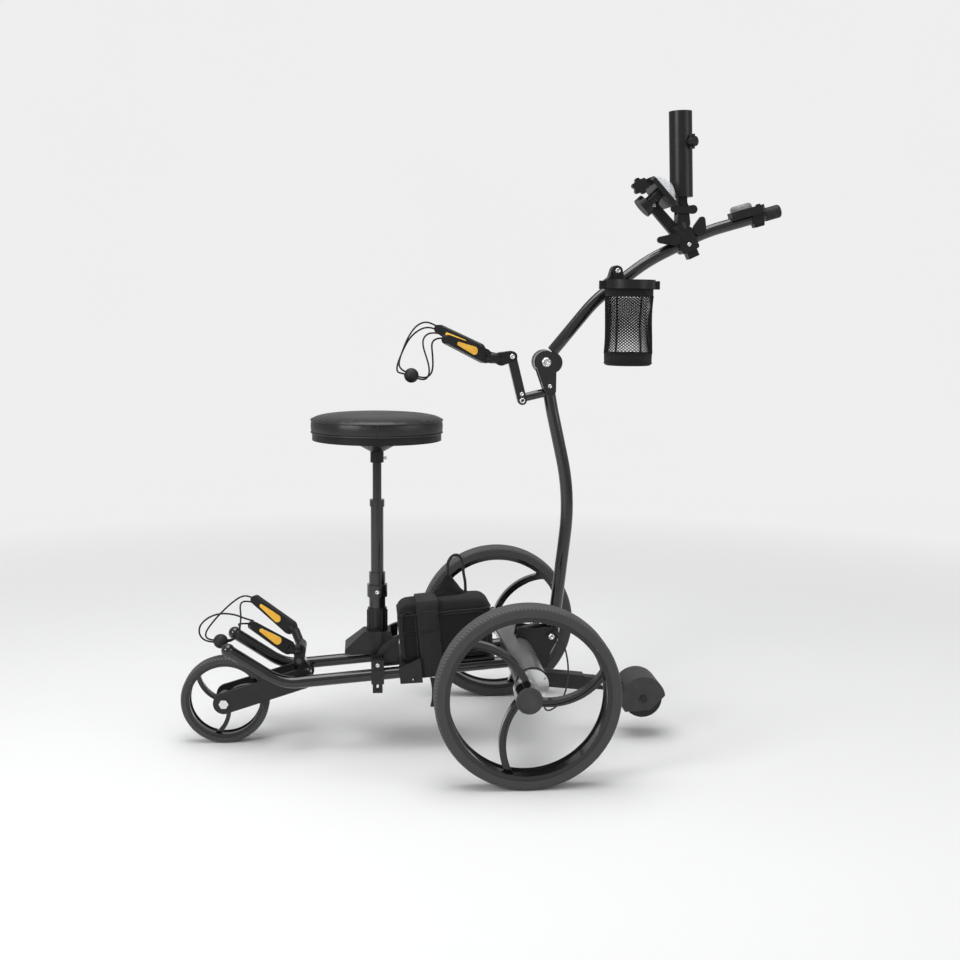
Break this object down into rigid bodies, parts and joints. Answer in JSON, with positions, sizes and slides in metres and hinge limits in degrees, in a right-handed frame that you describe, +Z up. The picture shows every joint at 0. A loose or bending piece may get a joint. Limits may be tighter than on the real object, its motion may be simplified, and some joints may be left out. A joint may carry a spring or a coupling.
{
  "type": "electric golf push cart",
  "caption": "Three-wheeled powered golf bag cart with a folding mast and handle, round seat on a post, battery bag, bag cradles with bungees, cup basket, umbrella and scorecard holders.",
  "frame": {"origin": "on the ground under the centre of the overall box", "axes": "+Z up, +X towards the handle and the rear, +Y towards the cart's right side"},
  "size_m": [1.1092, 0.609, 1.1677],
  "materials": {
    "frame_paint": "gloss black paint",
    "bracket_paint": "satin black paint",
    "motor_paint": "satin grey coating",
    "gearbox_metal": "turned and clear coated",
    "steel": "brushed",
    "tyre_rubber": "matte, fine tread",
    "rim_plastic": "gloss black",
    "hub_plastic": "matte dark grey",
    "black_plastic": "fine grain",
    "inlay_yellow": "satin yellow",
    "seat_leather": "smooth black leather",
    "bag_fabric": "woven black cloth",
    "strap_web": "black webbing",
    "mesh_fabric": "open diamond mesh with cloth bands",
    "elastic_cord": "braided elastic",
    "soft_rubber": "matte rubber",
    "cable_sheath": "satin sheath",
    "dial_grey": "satin grey",
    "clear_plastic": "clear",
    "battery_case": "plain case"
  },
  "bodies": {
    "frame": {"lower_rail_left": "frame_paint", "lower_rail_right": "frame_paint", "front_bracket": "frame_paint", "fork_plates": "bracket_paint", "front_axle": "steel", "seat_crossbar": "bracket_paint", "seat_foot": "bracket_paint", "seat_post_outer": "frame_paint", "battery_tray": "bracket_paint", "battery_bag": "bag_fabric", "battery": "battery_case", "battery_strap": "strap_web", "battery_lead": "cable_sheath", "motor_cable": "cable_sheath", "motor_housing": "motor_paint", "drive_motors": "steel", "gearboxes": "gearbox_metal", "fold_bracket": "bracket_paint", "antitip_sleeve": "bracket_paint"},
    "wheel_left": {"tyre_left": "tyre_rubber", "rim_left": "rim_plastic", "axle_left": "hub_plastic"},
    "wheel_right": {"tyre_right": "tyre_rubber", "rim_right": "rim_plastic", "axle_right": "hub_plastic"},
    "wheel_front": {"front_tyre": "tyre_rubber", "front_rim": "rim_plastic", "front_bearings": "steel"},
    "antitip": {"antitip_bar": "bracket_paint", "antitip_hood": "hub_plastic"},
    "roller": {"antitip_roller": "soft_rubber"},
    "seat_column": {"seat_post_inner": "frame_paint"},
    "seat": {"seat_pan": "black_plastic", "seat_cushion": "seat_leather"},
    "mast": {"main_tube": "frame_paint", "upper_link": "frame_paint"},
    "knuckle_knob": {"knuckle_bolt": "steel"},
    "handle": {"handle_tube": "frame_paint", "handle_end_grip": "soft_rubber", "control_box": "black_plastic", "accessory_clamp": "black_plastic", "cup_clamp": "black_plastic"},
    "dial": {"control_dial": "dial_grey"},
    "button": {"power_button": "black_plastic"},
    "umbrella": {"umbrella_holder": "black_plastic"},
    "umbrella_knob": {"umbrella_screw": "black_plastic"},
    "scorecard": {"scorecard_holder": "black_plastic", "scorecard_cover": "clear_plastic"},
    "cup": {"cup_ring": "black_plastic", "cup_basket": "mesh_fabric"},
    "upper_cradle": {"upper_bag_arms": "black_plastic", "upper_arm_inlays": "inlay_yellow", "upper_bungee_a": "elastic_cord", "upper_bungee_b": "elastic_cord", "upper_ball": "soft_rubber"},
    "lower_cradle": {"lower_bag_arms": "black_plastic", "lower_arm_inlays": "inlay_yellow", "lower_bungee_a": "elastic_cord", "lower_bungee_b": "elastic_cord", "lower_ball": "soft_rubber"}
  },
  "joints": [
    {"name": "left_wheel_spin", "type": "hinge", "parent": "frame", "child": "wheel_left", "pos_m": [0.0607, -0.275, 0.159], "axis": [0, 1, 0], "continuous": true},
    {"name": "right_wheel_spin", "type": "hinge", "parent": "frame", "child": "wheel_right", "pos_m": [0.0607, 0.275, 0.159], "axis": [0, 1, 0], "continuous": true},
    {"name": "front_wheel_spin", "type": "hinge", "parent": "frame", "child": "wheel_front", "pos_m": [-0.473, 0, 0.0816], "axis": [0, 1, 0], "continuous": true},
    {"name": "antitip_slide", "type": "slide", "parent": "frame", "child": "antitip", "axis": [0.9945, 0, -0.1045], "range_m": [0, 0.04]},
    {"name": "antitip_roller_spin", "type": "hinge", "parent": "antitip", "child": "roller", "pos_m": [0.3107, 0, 0.079], "axis": [0, 1, 0], "continuous": true},
    {"name": "seat_height", "type": "slide", "parent": "frame", "child": "seat_column", "axis": [0, 0, 1], "range_m": [-0.06, 0.05]},
    {"name": "seat_swivel", "type": "hinge", "parent": "seat_column", "child": "seat", "pos_m": [-0.1903, 0, 0.56], "axis": [0, 0, 1], "continuous": true},
    {"name": "main_fold", "type": "hinge", "parent": "frame", "child": "mast", "pos_m": [0.1357, 0, 0.198], "axis": [0, 1, 0], "range_deg": [-7, 0]},
    {"name": "knuckle_knob_turn", "type": "hinge", "parent": "mast", "child": "knuckle_knob", "pos_m": [0.1187, 0, 0.712], "axis": [0, 1, 0], "continuous": true},
    {"name": "handle_fold", "type": "hinge", "parent": "mast", "child": "handle", "pos_m": [0.1187, 0, 0.712], "axis": [0, 1, 0], "range_deg": [0, 90]},
    {"name": "dial_turn", "type": "hinge", "parent": "handle", "child": "dial", "pos_m": [0.47802, 0, 0.99709], "axis": [-0.28, 0, 0.96], "range_deg": [-135, 135]},
    {"name": "power_button_press", "type": "slide", "parent": "handle", "child": "button", "axis": [0.28, 0, -0.96], "range_m": [0, 0.0012], "stiffness_N_per_m": 300},
    {"name": "umbrella_tilt", "type": "hinge", "parent": "handle", "child": "umbrella", "pos_m": [0.3672, 0, 0.996], "axis": [0, 1, 0], "range_deg": [0, 45]},
    {"name": "umbrella_knob_turn", "type": "hinge", "parent": "umbrella", "child": "umbrella_knob", "pos_m": [0.36259, 0, 1.11091], "axis": [0.6152, -0.788, 0.0247], "continuous": true},
    {"name": "scorecard_tilt", "type": "hinge", "parent": "handle", "child": "scorecard", "pos_m": [0.3127, 0, 0.998], "axis": [0, 1, 0], "range_deg": [-30, 0]},
    {"name": "cup_swing", "type": "hinge", "parent": "handle", "child": "cup", "pos_m": [0.2477, 0, 0.879], "axis": [0, 1, 0], "range_deg": [-30, 30]},
    {"name": "upper_cradle_tilt", "type": "hinge", "parent": "mast", "child": "upper_cradle", "pos_m": [0.0567, 0, 0.722], "axis": [0, 1, 0], "range_deg": [0, 45]},
    {"name": "lower_cradle_tilt", "type": "hinge", "parent": "frame", "child": "lower_cradle", "pos_m": [-0.3353, 0, 0.158], "axis": [0, 1, 0], "range_deg": [0, 40]}
  ]
}
